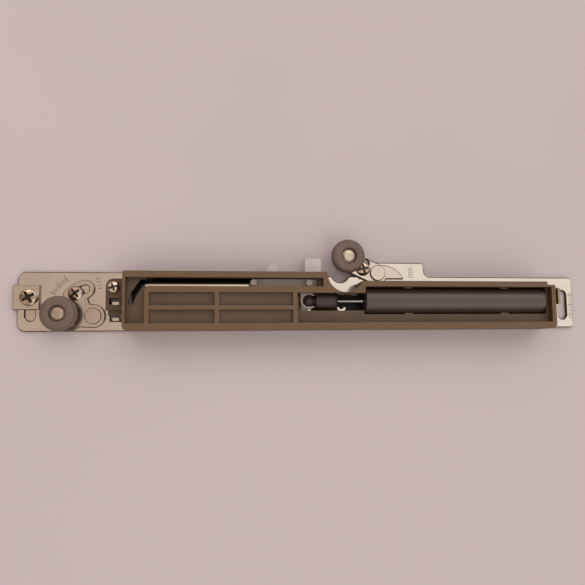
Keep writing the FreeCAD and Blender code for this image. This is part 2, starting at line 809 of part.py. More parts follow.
def screws():
    made = [headed("housing_screw", lug_screw, plate_top + d.lug_height, d.housing_screw_head,
                   d.housing_screw_rise, d.housing_screw_shank, d.running_clearance, d.head_dome)]
    for name, centre in (("left_lock_screw", left_lock), ("right_lock_screw", right_lock)):
        made.append(headed(name, centre, head_low, d.lock_head, d.lock_rise, d.lock_shank,
                           d.running_clearance, d.head_dome))
    clamp_screw = (left_slot_x, d.clamp_screw_y)
    clamp_seat = plate_top + d.running_clearance + d.clamp_sheet
    made.append(headed("end_clamp_screw", clamp_screw, clamp_seat, d.clamp_screw_head, d.clamp_screw_rise,
                       d.clamp_screw_shank, d.running_clearance * 2, d.head_dome))
    return made


def pivot_rivet(name, centre):
    """A shouldered rivet: the arm turns on its shank, and its tail is flush in the plate."""
    body = turned(name, "Z", (
        (ZERO, ZERO), (d.rivet_tail / 2, ZERO), (d.rivet_tail / 2, plate_top),
        (d.rivet_shank / 2, plate_top), (d.rivet_shank / 2, head_low), (d.rivet_head / 2, head_low),
        (d.rivet_head / 2, head_low + d.rivet_rise), (ZERO, head_low + d.rivet_rise)))
    ease_rim(body, "Chamfer", d.rivet_edge, d.rivet_head / 2, head_low + d.rivet_rise)
    place(body, *centre, ZERO)
    return body


def arm_holes(body, arm_length, arm_angle, slot_radius, lock_angle, swing):
    """Pivot hole, axle hole and the curved slot for the lock screw."""
    slot_half = d.lock_shank / 2 + d.arm_slot_play
    cut(body, ZERO, d.arm_sheet, circle((ZERO, ZERO), d.rivet_shank / 2 + d.running_clearance))
    cut(body, ZERO, d.arm_sheet, circle(
        polar(arm_length, arm_angle), d.axle_diameter / 2 + d.running_clearance))
    cut(body, ZERO, d.arm_sheet, arc_slot(slot_radius, slot_half, lock_angle - swing, lock_angle))


def left_roller_arm():
    """A ring about the pivot, a link to the axle and a lobe round the curved slot."""
    body = new_body("left_roller_arm")
    root = (ZERO, ZERO)
    lobe_first = d.left_lock_angle - d.left_swing
    lobe_last = d.left_lock_angle + d.left_lobe_extra
    lobe_inner = d.left_slot_radius - d.left_lobe / 2
    add(body, ZERO, d.arm_sheet, round_slot(root, polar(d.left_arm_length, d.left_arm_angle), d.left_ring))
    add(body, ZERO, d.arm_sheet, arc_slot(d.left_slot_radius, d.left_lobe, lobe_first, lobe_last))
    add(body, ZERO, d.arm_sheet, polygon(
        polar(d.left_ring / 2, lobe_first), polar(lobe_inner, lobe_first),
        polar(lobe_inner, lobe_last), polar(d.left_ring / 2, lobe_last)))
    arm_holes(body, d.left_arm_length, d.left_arm_angle, d.left_slot_radius, d.left_lock_angle, d.left_swing)
    place(body, *left_pivot, arm_low)
    return body


def right_roller_arm():
    """A broad link to the axle with a pointer tail that runs along the plate's scale."""
    body = new_body("right_roller_arm")
    near = polar(d.right_arm_offset, d.right_arm_angle + QUARTER_TURN)
    far = shifted(near, polar(d.right_arm_length, d.right_arm_angle))
    add(body, ZERO, d.arm_sheet, round_slot(near, far, d.right_half_width))
    add(body, ZERO, d.arm_sheet, disc_part(
        (d.tail_ahead, -d.tail_centre_drop), d.tail_radius, -d.tail_drop, above=True))
    arm_holes(body, d.right_arm_length, d.right_arm_angle, d.right_slot_radius, d.right_lock_angle,
              d.right_swing)
    place(body, *right_pivot, arm_low)
    return body


def roller_set(side, centre):
    """A moulded roller, its flanged bush and the riveted axle that carries them on the arm."""
    radius = d.roller_diameter / 2
    journal = d.axle_diameter / 2
    bush_inner = journal + d.running_clearance
    bush_outer = bush_inner + d.bush_wall
    floor = d.roller_width - d.roller_recess_depth
    roller = turned(f"{side}_roller", "Z", (
        (bush_outer, ZERO), (radius, ZERO), (radius, d.roller_width),
        (d.roller_recess / 2, d.roller_width), (d.roller_recess / 2, floor), (bush_outer, floor)))
    ease_rim(roller, "Fillet", d.roller_edge, radius, d.roller_width)
    ease_rim(roller, "Fillet", d.roller_foot_edge, radius, ZERO)
    flange_top = floor + d.bush_flange_thickness
    bush = turned(f"{side}_roller_bush", "Z", (
        (bush_inner, ZERO), (bush_outer, ZERO), (bush_outer, floor), (d.bush_flange / 2, floor),
        (d.bush_flange / 2, flange_top), (bush_inner, flange_top)))
    for body in (roller, bush):
        place(body, *centre, roller_low)
    shoulder_top_height = roller_low - d.running_clearance
    head_seat = roller_low + flange_top + d.running_clearance
    axle = turned(f"{side}_roller_axle", "Z", (
        (ZERO, arm_low), (journal, arm_low), (journal, arm_top), (d.axle_shoulder / 2, arm_top),
        (d.axle_shoulder / 2, shoulder_top_height), (journal, shoulder_top_height), (journal, head_seat),
        (d.axle_head / 2, head_seat), (d.axle_head / 2, head_seat + d.axle_rise),
        (ZERO, head_seat + d.axle_rise)))
    ease_rim(axle, "Chamfer", d.rivet_edge, d.axle_head / 2, head_seat + d.axle_rise)
    place(axle, *centre, ZERO)
    return [roller, bush, axle]


def damper():
    """Cylinder with its cap, gland and seal, and the rod with its piston and ball-ended adapter."""
    bore = damper_radius - d.damper_wall
    plug = bore - d.running_clearance
    rod = d.rod_diameter / 2
    rod_hole = rod + d.running_clearance
    start, stop = d.damper_start, damper_end
    cylinder = turned("damper_cylinder", "X", (
        (start, bore), (stop, bore), (stop, damper_radius), (start, damper_radius)))
    cap_start = stop - d.cap_length
    cap = turned("damper_end_cap", "X", (
        (cap_start, ZERO), (stop + d.running_clearance, ZERO), (stop + d.running_clearance, plug - d.cap_nose),
        (stop - d.cap_nose, plug), (cap_start, plug)))
    gland_end = start + d.gland_length
    seal_start = gland_end - d.seal_length
    gland = turned("damper_gland", "X", (
        (start, rod_hole), (seal_start, rod_hole), (seal_start, d.seal_radius), (gland_end, d.seal_radius),
        (gland_end, plug), (start, plug)))
    seal = turned("rod_seal", "X", (
        (seal_start + d.running_clearance, rod_hole), (gland_end, rod_hole),
        (gland_end, d.seal_radius - d.running_clearance),
        (seal_start + d.running_clearance, d.seal_radius - d.running_clearance)))
    piston_end = cap_start - d.piston_rest_gap
    piston_start = piston_end - d.piston_length
    piston = turned("piston", "X", (
        (piston_start, rod_hole), (piston_end, rod_hole), (piston_end, plug), (piston_start, plug)))
    adapter_start = d.ball_x + d.neck_reach
    adapter_end = adapter_start + d.adapter_length
    rod_start = adapter_end - d.rod_grip
    piston_rod = turned("piston_rod", "X", (
        (rod_start, ZERO), (piston_end, ZERO), (piston_end, rod), (rod_start, rod)))
    adapter_radius = d.adapter_diameter / 2
    adapter = turned("rod_end_adapter", "X", (
        (d.ball_x, ZERO), (rod_start - d.running_clearance, ZERO), (rod_start - d.running_clearance, rod_hole),
        (adapter_end, rod_hole), (adapter_end, adapter_radius - d.adapter_nose),
        (adapter_end - d.adapter_nose, adapter_radius), (adapter_start, adapter_radius),
        (adapter_start, d.neck_diameter / 2), (d.ball_x, d.neck_diameter / 2)))
    ball = adapter.newObject("PartDesign::AdditiveSphere", "rod_end_ball")
    bind(ball, "Radius", d.ball_diameter / 2)
    bind(ball, "Placement.Base.x", d.ball_x)
    pieces = [cylinder, cap, gland, seal, piston, piston_rod, adapter]
    for body in pieces:
        place(body, ZERO, ZERO, axis_height)
    return pieces


def catch():
    """Nylon slider: a guided bar with two pins, a tall tab and a low finger, and the rod's ball socket."""
    body = new_body("catch")
    bar_low_y = d.guide_low + d.slide_clearance
    bar_high_y = guide_high - d.slide_clearance
    bar_end = d.bar_start + d.bar_length
    half_bar = (bar_high_y - bar_low_y) / 2
    add(body, d.bar_low, d.bar_top, round_slot(
        (d.bar_start + half_bar, guide_middle), (bar_end - half_bar, guide_middle), half_bar))
    for x in (d.front_pin_x, d.rear_pin_x):
        add(body, d.bar_low, d.pin_top, circle((x, guide_middle), d.pin_diameter / 2))
    # the fingers stand either side of the striker's gap on one web under the beam
    tall_left = d.tall_tab_x - d.tall_tab_width / 2
    tall_right = d.tall_tab_x + d.tall_tab_width / 2
    low_right = tall_left - d.striker_gap
    low_left = low_right - d.low_finger_width
    ramp_foot = low_left - d.low_finger_ramp
    web_high = housing_top - d.slide_clearance
    finger_corners = (
        (ramp_foot, bar_low_y), (tall_right, bar_low_y), (tall_right, d.tall_tab_reach),
        (tall_left, d.tall_tab_reach), (tall_left, web_high), (low_right, web_high),
        (low_right, d.low_finger_reach), (low_left, d.low_finger_reach), (ramp_foot, web_high))
    add(body, d.finger_low, d.finger_top, polygon(*finger_corners))
    round_uprights(body, d.top_corner, finger_corners[2], finger_corners[3], finger_corners[6],
                   finger_corners[7])
    # the socket's ring stands round the ball and is open towards the rod
    socket_inner = d.ball_diameter / 2 + d.socket_play
    socket_outer = socket_inner + d.socket_wall
    link_left = d.ball_x - socket_outer
    link_right = link_left + d.link_width
    add(body, d.link_low, d.bar_top, rectangle(link_left, link_right, ZERO, guide_middle))
    add(body, d.socket_low, d.bar_top, circle((d.ball_x, ZERO), socket_outer))
    spring_arm_low = spring_height + spring_radius + d.slide_clearance
    add(body, spring_arm_low, d.spring_arm_top, round_slot(
        (d.catch_post_x, spring_y), (d.catch_post_x, ZERO), d.spring_arm_width / 2))
    add(body, spring_height - spring_radius, d.spring_arm_top, circle(
        (d.catch_post_x, spring_y), d.post_radius))
    cut(body, d.socket_low, d.bar_top, circle((d.ball_x, ZERO), socket_inner))
    mouth_right = d.ball_x + socket_outer + d.socket_wall
    cut(body, d.socket_low, d.bar_top, rectangle(d.ball_x, mouth_right, -d.socket_mouth, d.socket_mouth))
    return body


def tension_spring():
    """The close-wound spring as a sleeve of its wire, with an eye at each end."""
    body = new_body("tension_spring")
    coil_start = d.catch_post_x + d.eye_radius
    coil_end = anchor_x - d.eye_radius
    inner = spring_radius - d.spring_wire
    sketch = draw_on(body, "XY_Plane", ZERO, [polygon(
        (coil_start, inner), (coil_end, inner), (coil_end, spring_radius), (coil_start, spring_radius))])
    turn = body.newObject("PartDesign::Revolution", "tension_spring_turn")
    turn.Profile = sketch
    turn.ReferenceAxis = (sketch, ["H_Axis"])
    turn.Angle = 2 * HALF_TURN.number
    wire = d.spring_wire / 2
    for x, side in ((d.catch_post_x, 1), (anchor_x, -1)):
        eye = body.newObject("PartDesign::AdditiveTorus", "tension_spring_eye")
        bind(eye, "Radius1", d.eye_radius)
        bind(eye, "Radius2", wire)
        bind(eye, "Placement.Base.x", x)
        seat = x + d.eye_radius * side
        ends = (seat, seat + d.spring_wire * side)
        add(body, -d.eye_bar / 2, d.eye_bar / 2, rectangle(
            *sorted(ends, key=lambda end: end.number), -spring_radius + wire, spring_radius - wire))
    place(body, ZERO, spring_y, spring_height)
    return body


def end_clamp():
    """Bent sheet clamp over the plate's left edge, and the flat nut that pulls it down through the slot."""
    clamp = new_body("end_clamp")
    sheet_low = plate_top + d.running_clearance
    sheet_top = sheet_low + d.clamp_sheet
    flange_right = plate_left - d.clamp_flange_gap
    flange_left = flange_right - d.clamp_sheet
    low = d.clamp_screw_y - d.clamp_height / 2
    high = d.clamp_screw_y + d.clamp_height / 2
    add(clamp, sheet_low, sheet_top, rectangle(flange_left, plate_left + d.clamp_width, low, high))
    add(clamp, d.slide_clearance, sheet_top, rectangle(flange_left, flange_right, low, high))
    hole = d.clamp_screw_shank / 2 + d.running_clearance
    screw = (left_slot_x, d.clamp_screw_y)
    cut(clamp, sheet_low, sheet_top, circle(screw, hole))
    nut = new_body("end_clamp_nut")
    flange_half = d.nut_flange / 2
    neck_half = d.slot_width / 2 - d.running_clearance * 2
    neck_reach = d.nut_neck / 2 - neck_half
    x, y = screw
    flange_top = d.nut_flange_thickness + d.running_clearance / 2
    add(nut, d.running_clearance, flange_top, rectangle(
        x - flange_half, x + flange_half, nut_flange_low, y + flange_half))
    add(nut, d.running_clearance, plate_top - d.running_clearance, round_slot(
        (x, y - neck_reach), (x, y + neck_reach), neck_half))
    cut(nut, d.running_clearance, plate_top - d.running_clearance, circle(screw, hole))
    return [clamp, nut]


pieces = [base_plate(), housing(), *screws()]
pieces += [pivot_rivet("left_pivot_rivet", left_pivot), pivot_rivet("right_pivot_rivet", right_pivot)]
pieces += [left_roller_arm(), right_roller_arm()]
pieces += roller_set("left", left_axle) + roller_set("right", right_axle)
pieces += damper()
pieces += [catch(), tension_spring(), *end_clamp()]
doc.recompute()

# Every object has to be sound, and every cut has to have taken material, before anything is written
for thing in doc.Objects:
    if "Invalid" in thing.State or "Error" in thing.State:
        raise RuntimeError(f"{thing.Name} failed: {thing.State}")
    if thing.TypeId == "PartDesign::Pocket" and thing.Shape.Volume >= thing.BaseFeature.Shape.Volume:
        raise RuntimeError(f"{thing.Name} cut nothing")
for piece in pieces:
    shape = piece.Shape
    if shape.isNull() or not shape.isValid():
        raise RuntimeError(f"{piece.Label} has no valid shape")
    if len(shape.Solids) != 1:
        raise RuntimeError(f"{piece.Label} has {len(shape.Solids)} solids")

os.makedirs("parts", exist_ok=True)
for piece in pieces:
    piece.Shape.exportStep(f"parts/{piece.Label}.step")
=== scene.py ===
import math

import bmesh
import bpy
from mathutils import Matrix, Vector


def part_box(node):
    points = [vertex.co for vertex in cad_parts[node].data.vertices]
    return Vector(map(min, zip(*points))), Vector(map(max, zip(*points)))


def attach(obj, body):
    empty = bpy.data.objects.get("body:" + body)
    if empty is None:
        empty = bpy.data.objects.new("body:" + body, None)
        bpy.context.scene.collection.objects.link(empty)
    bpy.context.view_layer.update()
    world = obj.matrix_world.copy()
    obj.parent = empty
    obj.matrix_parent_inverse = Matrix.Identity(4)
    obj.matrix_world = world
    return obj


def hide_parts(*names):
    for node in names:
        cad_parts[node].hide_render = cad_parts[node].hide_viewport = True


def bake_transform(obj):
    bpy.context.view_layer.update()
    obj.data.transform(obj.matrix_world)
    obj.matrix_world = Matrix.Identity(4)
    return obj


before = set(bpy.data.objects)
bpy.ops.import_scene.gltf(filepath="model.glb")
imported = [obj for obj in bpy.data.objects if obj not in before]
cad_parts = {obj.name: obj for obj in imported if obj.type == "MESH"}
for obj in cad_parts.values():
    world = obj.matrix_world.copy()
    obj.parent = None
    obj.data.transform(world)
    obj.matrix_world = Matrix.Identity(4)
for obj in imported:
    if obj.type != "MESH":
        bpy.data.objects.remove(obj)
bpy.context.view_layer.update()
scene = bpy.context.scene
scene.view_settings.view_transform = "Standard"


# Back plate: one stamping of nickel-plated sheet steel with a wide head on the left, a long strip,
# a bump under the right arm, lanced tabs that locate the housing, and a hook at the right end.
# Its front is bright and slightly cloudy, with the press's drawn lines running along it.
MM = 0.001
SEAM = 0.0005 * MM
FLAT_ANGLE = math.radians(0.5)
SHARP_ANGLE = math.radians(32.0)
TOP_NORMAL = 0.99
WALL_NORMAL = 0.1
LEVEL_PLAY = 0.01 * MM
SHEET_EDGE = 0.05 * MM
BROW_WIDTH = 0.40 * MM
SHEAR_FADE = 0.08 * MM
LANCE_RISE = 0.6 * MM
LANCE_FADE = 1.0 * MM
FILM_FADE = 0.3 * MM
NOISE_MIDDLE = 0.5
CLOUD_ROUGHNESS = 0.04
LINE_ROUGHNESS = 0.05
CUT_ROUGHNESS = 0.30


class Field:
    """A node socket with arithmetic: an expression on values adds its Math nodes."""

    def __init__(self, tree, socket=None):
        self.tree = tree
        self.socket = socket

    def make(self, kind, settings=None, sockets=None, output=0):
        """A node of a kind: its settings first, then the values or links of its sockets."""
        node = self.tree.nodes.new(kind)
        for name, value in (settings or {}).items():
            setattr(node, name, value)
        for key, value in (sockets or {}).items():
            if isinstance(value, Field):
                self.tree.links.new(value.socket, node.inputs[key])
            else:
                node.inputs[key].default_value = value
        return Field(self.tree, node.outputs[output])

    def maths(self, operation, first, second):
        return self.make("ShaderNodeMath", {"operation": operation}, {0: first, 1: second})

    def __add__(self, other):
        return self.maths("ADD", self, other)

    def __radd__(self, other):
        return self.maths("ADD", other, self)

    def __sub__(self, other):
        return self.maths("SUBTRACT", self, other)

    def __rsub__(self, other):
        return self.maths("SUBTRACT", other, self)

    def __mul__(self, other):
        return self.maths("MULTIPLY", self, other)

    def __rmul__(self, other):
        return self.maths("MULTIPLY", other, self)

    def vector(self, x, y, z):
        return self.make("ShaderNodeCombineXYZ", sockets={"X": x, "Y": y, "Z": z})

    def parts(self):
        """The three values of a vector."""
        return [self.make("ShaderNodeSeparateXYZ", sockets={"Vector": self}, output=axis) for axis in "XYZ"]

    def noise(self, scale, stretch=(1, 1, 1), detail=3.0):
        """Noise on the piece's own coordinates, from about 0.3 to 0.7."""
        place = self.make("ShaderNodeTexCoord", output="Object")
        place = self.make("ShaderNodeMapping", sockets={"Vector": place, "Scale": stretch})
        return self.make("ShaderNodeTexNoise", sockets={"Vector": place, "Scale": scale, "Detail": detail})

    def along(self, axis):
        """One of the piece's own coordinates."""
        place = self.make("ShaderNodeTexCoord", output="Object")
        return self.make("ShaderNodeSeparateXYZ", sockets={"Vector": place}, output=axis)

    def between(self, low, high, fade):
        """1 where this value lies between two levels, fading out just inside them."""
        return self.band(low, low + fade) * (1 - self.band(high - fade, high))

    def within(self, near, far, fade):
        """1 inside a box between two corners on the piece's own coordinates."""
        spans = zip("XYZ", near, far)
        x, y, z = [self.along(axis).between(low, high, fade) for axis, low, high in spans]
        return x * y * z

    def band(self, low, high):
        """This value spread from 0 to 1 between two levels."""
        return self.make("ShaderNodeMapRange", {"interpolation_type": "SMOOTHSTEP"},
                         {"Value": self, "From Min": low, "From Max": high})

    def blend(self, first, second):
        """Two colours mixed by this value."""
        return self.make("ShaderNodeMix", {"data_type": "RGBA"},
                         {"Factor": self, "A": first, "B": second}, output=2)

    def bump(self, strength, distance):
        return self.make("ShaderNodeBump", sockets={
            "Height": self, "Strength": strength, "Distance": distance})


def new_finish(name, **plain):
    """A material with its plain shader values set, and the field that its nodes grow from."""
    material = bpy.data.materials.new(name)
    material.use_nodes = True
    shader = material.node_tree.nodes["Principled BSDF"]
    for socket, value in plain.items():
        shader.inputs[socket.replace("_", " ")].default_value = value
    return material, Field(material.node_tree), shader


def wire_up(shader, **varying):
    """The shader's sockets, linked to what varies over the surface."""
    for socket, value in varying.items():
        value.tree.links.new(value.socket, shader.inputs[socket.replace("_", " ")])


def rgb(red, green, blue):
    return (red, green, blue, 1.0)


def plated(name, bright, dull, roughness, drawn=1.0, sheared=None, lanced=None, slot_shade=None):
    """Plating with cloudy patches and faint drawn lines along X, over a blank with sheared edges.

    sheared gives the heights of the blank's two faces and the dark colour between: bare cut and painted
    shade.
    lanced is the place along X beyond which tabs stand up from the blank, and their ends' colour.
    The last is two corners of a box on the plate that is painted dark as painted shade, and its colour."""
    material, field, shader = new_finish(name, Metallic=1.0)
    clouds = field.noise(scale=55.0).band(0.35, 0.68)
    lines = field.noise(scale=900.0, stretch=(0.04, 1.0, 1.0), detail=2.0)
    satin = field.noise(scale=2600.0, detail=2.0)
    colour = clouds.blend(dull, bright)
    relief = 0.6 * drawn * lines + 0.4 * satin
    gloss = roughness + CLOUD_ROUGHNESS * (1 - clouds) + LINE_ROUGHNESS * drawn * (lines - NOISE_MIDDLE)
    # the cut edge is painted dark: partly the bare cut, partly painted shade for the edge's dark outline
    if sheared:
        low, high, shade = sheared
        cut = field.along("Z").between(low + SHEAR_FADE / 2, high - SHEAR_FADE / 2, SHEAR_FADE)
        colour = cut.blend(colour, shade)
        gloss = gloss + CUT_ROUGHNESS * cut
        if lanced:
            start, raised_colour = lanced
            risen = field.along("Z").band(high + LANCE_RISE, high + 2 * LANCE_RISE)
            colour = (risen * field.along("X").band(start, start + LANCE_FADE)).blend(colour, raised_colour)
    # a box on the plate painted near-black, as painted shade
    if slot_shade:
        near, far, shade_colour = slot_shade
        colour = field.within(near, far, FILM_FADE).blend(colour, shade_colour)
    wire_up(shader,
            Base_Color=colour,
            Roughness=gloss,
            Normal=relief.bump(strength=0.02, distance=0.05 * MM))
    return material


def is_top(face):
    return face.normal.z > TOP_NORMAL


def is_wall(face):
    return abs(face.normal.z) < WALL_NORMAL


def roll_over(work, level, width):
    """The rounded brow that a press leaves along a sheet's outline and holes, at the sheet's top."""
    brow = [edge for edge in work.edges
            if len(edge.link_faces) == 2
            and all(abs(vert.co.z - level) < LEVEL_PLAY for vert in edge.verts)
            and any(is_top(face) for face in edge.link_faces)
            and any(is_wall(face) for face in edge.link_faces)]
    bmesh.ops.bevel(work, geom=brow, offset=width, offset_type="OFFSET", segments=1, profile=0.5,
                    affect="EDGES", clamp_overlap=False)


def fill_pinhole(work, place, reach):
    """A gap between a blank's limbs that the press doesn't leave: its walls go, and its ends are filled."""
    walls = [face for face in work.faces
             if is_wall(face) and (face.calc_center_median().xy - place).length < reach]
    bmesh.ops.delete(work, geom=walls, context="FACES")
    bmesh.ops.holes_fill(work, edges=[edge for edge in work.edges if edge.is_boundary])
    bmesh.ops.recalc_face_normals(work, faces=work.faces)


def placed(name, data):
    """A new object at the origin."""
    piece = bpy.data.objects.new(name, data)
    scene.collection.objects.link(piece)
    return piece


def built(name, work):
    """A worked mesh as a new object."""
    mesh = bpy.data.meshes.new(name)
    work.to_mesh(mesh)
    work.free()
    return placed(name, mesh)


def flatten(piece):
    """The piece's modifiers, made into a plain mesh."""
    seen = piece.evaluated_get(bpy.context.evaluated_depsgraph_get())
    mesh = bpy.data.meshes.new_from_object(seen)
    piece.modifiers.clear()
    piece.data = mesh


def finish_piece(piece, finish, body, sharp=SHARP_ANGLE):
    piece.data.materials.clear()
    piece.data.materials.append(finish)
    piece.data.shade_smooth()
    piece.data.set_sharp_from_angle(angle=sharp)
    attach(piece, body)


def dressed(node, name, finish, body, edge, brow=None, pinhole=None):
    """A copy of a CAD node with its seams merged and its edges eased, as the real piece has them.

    brow is the height of a sheet's top face, whose edges the press has rolled over.
    pinhole is the place of a gap to close and a distance that covers it."""
    work = bmesh.new()
    work.from_mesh(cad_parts[node].data)
    bmesh.ops.remove_doubles(work, verts=work.verts, dist=SEAM)
    if pinhole:
        fill_pinhole(work, *pinhole)
    bmesh.ops.dissolve_limit(work, angle_limit=FLAT_ANGLE, verts=work.verts, edges=work.edges)
    if brow is not None:
        roll_over(work, brow, BROW_WIDTH)
    piece = built(name, work)
    ease = piece.modifiers.new("eased_edges", "BEVEL")
    ease.width = edge
    ease.segments = 2
    ease.limit_method = "ANGLE"
    ease.angle_limit = SHARP_ANGLE
    flatten(piece)
    finish_piece(piece, finish, body)
    flat_faces = piece.modifiers.new("flat_faces", "WEIGHTED_NORMAL")
    flat_faces.keep_sharp = True
    flatten(piece)
    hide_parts(node)


plate_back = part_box("base_plate")[0].z
plate_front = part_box("housing")[0].z
hook_start = 100.0 * MM
# the plate under the catch's slot is painted near-black, as painted shade
catch_track = (Vector((-84.0, 8.0, 1.0)) * MM, Vector((3.9, 12.0, 3.0)) * MM)
# the sheet's cut edges and brows: the bare cut, darkened further as painted shade
cut_and_shade_brown = rgb(0.11, 0.075, 0.06)
hook_olive = rgb(0.36, 0.27, 0.14)
slot_shade_colour = rgb(0.035, 0.026, 0.020)
nickel = plated("bright_nickel", rgb(0.82, 0.72, 0.62), rgb(0.76, 0.66, 0.56), roughness=0.09,
                sheared=(plate_back, plate_front, cut_and_shade_brown), lanced=(hook_start, hook_olive),
                slot_shade=(*catch_track, slot_shade_colour))
dressed("base_plate", "back_plate", nickel, "base", edge=SHEET_EDGE, brow=plate_front)


# Setting marks: rows of short lines struck into the plate beside each arm and beside the right
# slot, so that the fitter can read how far a roller or the plate has been moved.
# Each is a shallow dark groove, shown as a thin strip laid on the plate.
def new_tree(name, **inputs):
    """An empty tree with its named inputs, and the field that its nodes grow from."""
    tree = bpy.data.node_groups.new(name, "GeometryNodeTree")
    for label, kind in inputs.items():
        tree.interface.new_socket(label.replace("_", " "), in_out="INPUT", socket_type=f"NodeSocket{kind}")
    tree.interface.new_socket("Geometry", in_out="OUTPUT", socket_type="NodeSocketGeometry")
    source = tree.nodes.new("NodeGroupInput")
    given = {label: Field(tree, source.outputs[label.replace("_", " ")]) for label in inputs}
    return Field(tree), given


def end_tree(field, shape, finish=None):
    """The tree with its end: real geometry, in one finish unless its parts have their own."""
    shape = field.make("GeometryNodeRealizeInstances", sockets={"Geometry": shape})
    if finish:
        shape = field.make("GeometryNodeSetMaterial", sockets={"Geometry": shape, "Material": finish})
    shown = field.tree.nodes.new("NodeGroupOutput")
    field.tree.links.new(shape.socket, shown.inputs[0])
    return field.tree


def mark_tree():
    """Strips in a row or a fan: they step by a pitch, or turn about a far centre by a step angle."""
    field, given = new_tree("setting_marks", Count="Int", Pitch="Float", Fan_Radius="Float",
                            Fan_Step="Float", Length="Float", Width="Float", Depth="Float",
                            Finish="Material")
    row = field.make("GeometryNodeMeshLine", sockets={
        "Count": given["Count"], "Offset": field.vector(0.0, given["Pitch"], 0.0)})
    strip = field.make("GeometryNodeMeshCube", sockets={
        "Size": field.vector(given["Length"], given["Width"], given["Depth"])})
    strip = field.make("GeometryNodeTransform", sockets={
        "Geometry": strip, "Translation": field.vector(given["Fan_Radius"], 0.0, 0.0)})
    turn = field.make("GeometryNodeInputIndex") * given["Fan_Step"]
    strips = field.make("GeometryNodeInstanceOnPoints", sockets={
        "Points": row, "Instance": strip, "Rotation": field.vector(0.0, 0.0, turn)})
    return end_tree(field, strips, given["Finish"])


def set_inputs(modifier, **values):
    """A tree's inputs, set by the identifiers behind their names."""
    for item in modifier.node_group.interface.items_tree:
        key = item.name.replace(" ", "_")
        if item.in_out == "INPUT" and key in values:
            modifier[item.identifier] = values[key]


def grown(name, tree, place, **values):
    """A tree's result as a plain mesh, moved to its place."""
    piece = placed(name, bpy.data.meshes.new(name))
    modifier = piece.modifiers.new(name, "NODES")
    modifier.node_group = tree
    set_inputs(modifier, **values)
    flatten(piece)
    piece.data.transform(place)
    return piece


def joined(name, pieces):
    """Several plain pieces made one."""
    work = bmesh.new()
    for piece in pieces:
        work.from_mesh(piece.data)
        bpy.data.objects.remove(piece)
    return built(name, work)


groove, field, shader = new_finish("struck_marks", Metallic=1.0)
wire_up(shader,
        Base_Color=field.noise(scale=1800.0).band(0.35, 0.65).blend(
            rgb(0.12, 0.09, 0.07), rgb(0.22, 0.17, 0.14)),
        Roughness=0.35 + 0.2 * field.noise(scale=2400.0))
marks = mark_tree()
mark_depth = 0.02 * MM
thin_stroke = 0.22 * MM
bold_stroke = 0.26 * MM
ladder_stroke = 0.28 * MM
ladder_pitch = 0.92 * MM
left_pivot = (-97.5, -6.2)
right_pivot = (31.4, 13.6)
left_fan_start = 126.0


def mark_row(name, foot, angle, **values):
    """A row or fan of strips on the plate, from its foot in millimetres and its angle in degrees."""
    place = Matrix.Translation((foot[0] * MM, foot[1] * MM, plate_front + mark_depth / 2))
    turn = Matrix.Rotation(math.radians(angle), 4, "Z")
    return grown(name, marks, place @ turn, Depth=mark_depth, Finish=groove, **values)


scales = joined("setting_scales", [
    mark_row("slot_ladder", (128.7, -7.6), 0.0, Count=14, Pitch=ladder_pitch, Length=1.5 * MM,
             Width=ladder_stroke),
    mark_row("slot_ladder_long", (128.5, -5.76), 0.0, Count=3, Pitch=5 * ladder_pitch, Length=2.0 * MM,
             Width=bold_stroke),
    mark_row("left_fan", left_pivot, left_fan_start, Count=11, Fan_Step=math.radians(2.4),
             Fan_Radius=20.2 * MM, Length=1.8 * MM, Width=thin_stroke),
    mark_row("left_fan_long", left_pivot, left_fan_start, Count=3, Fan_Step=math.radians(12.0),
             Fan_Radius=20.7 * MM, Length=2.8 * MM, Width=bold_stroke),
    mark_row("lug_marks", (-94.9, 6.2), 12.0, Count=4, Pitch=1.5 * MM, Length=2.0 * MM,
             Width=bold_stroke),
    mark_row("right_fan", right_pivot, -6.0, Count=7, Fan_Step=math.radians(2.6), Fan_Radius=16.7 * MM,
             Length=2.4 * MM, Width=thin_stroke),
])
finish_piece(scales, groove, "base")


# Housing: one taupe nylon moulding, screwed to the plate at its lug and hooked at its right end.
# Matt and finely grained, paler along the top of the rim, and painted near-black inside as painted shade.
MOULD_EDGE = 0.25 * MM
RIM_FADE = 1.0 * MM
SHADE_FADE = 0.6 * MM
GRAIN_ROUGHNESS = 0.12
MOTTLE_ROUGHNESS = 0.08


def moulded(name, pale, dark, roughness, grain=1.0, sheen=0.35, rim_band=None, painted_shade=None):
    """A fine-grained moulding, paler above a height, and painted darker in hollows as painted shade.

    The rim band is a height and a colour; the hollows' painted shade is pairs of corners and a colour."""
    material, field, shader = new_finish(name, Specular_IOR_Level=sheen)
    mottle = field.noise(scale=70.0).band(0.3, 0.7)
    grains = field.noise(scale=3200.0, detail=2.0)
    flow = field.noise(scale=260.0, stretch=(0.15, 1.0, 1.0), detail=2.0)
    shade = 0.7 * mottle + 0.3 * flow
    relief = 0.8 * grains + 0.2 * flow
    gloss = roughness + GRAIN_ROUGHNESS * (grains - NOISE_MIDDLE)
    gloss = gloss + MOTTLE_ROUGHNESS * (NOISE_MIDDLE - mottle)
    colour = shade.blend(dark, pale)
    # above a height near the rim's top the colour turns paler
    if rim_band:
        height, raised_colour = rim_band
        colour = field.along("Z").band(height - RIM_FADE, height).blend(colour, raised_colour)
    # the hollows inside are painted near-black over the moulding's own colour, as painted shade
    if painted_shade:
        hollows, shade_colour = painted_shade
        for near, far in hollows:
            colour = field.within(near, far, SHADE_FADE).blend(colour, shade_colour)
    wire_up(shader,
            Base_Color=colour,
            Roughness=gloss,
            Normal=relief.bump(strength=0.10 * grain, distance=0.08 * MM))
    return material


housing_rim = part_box("housing")[1].z
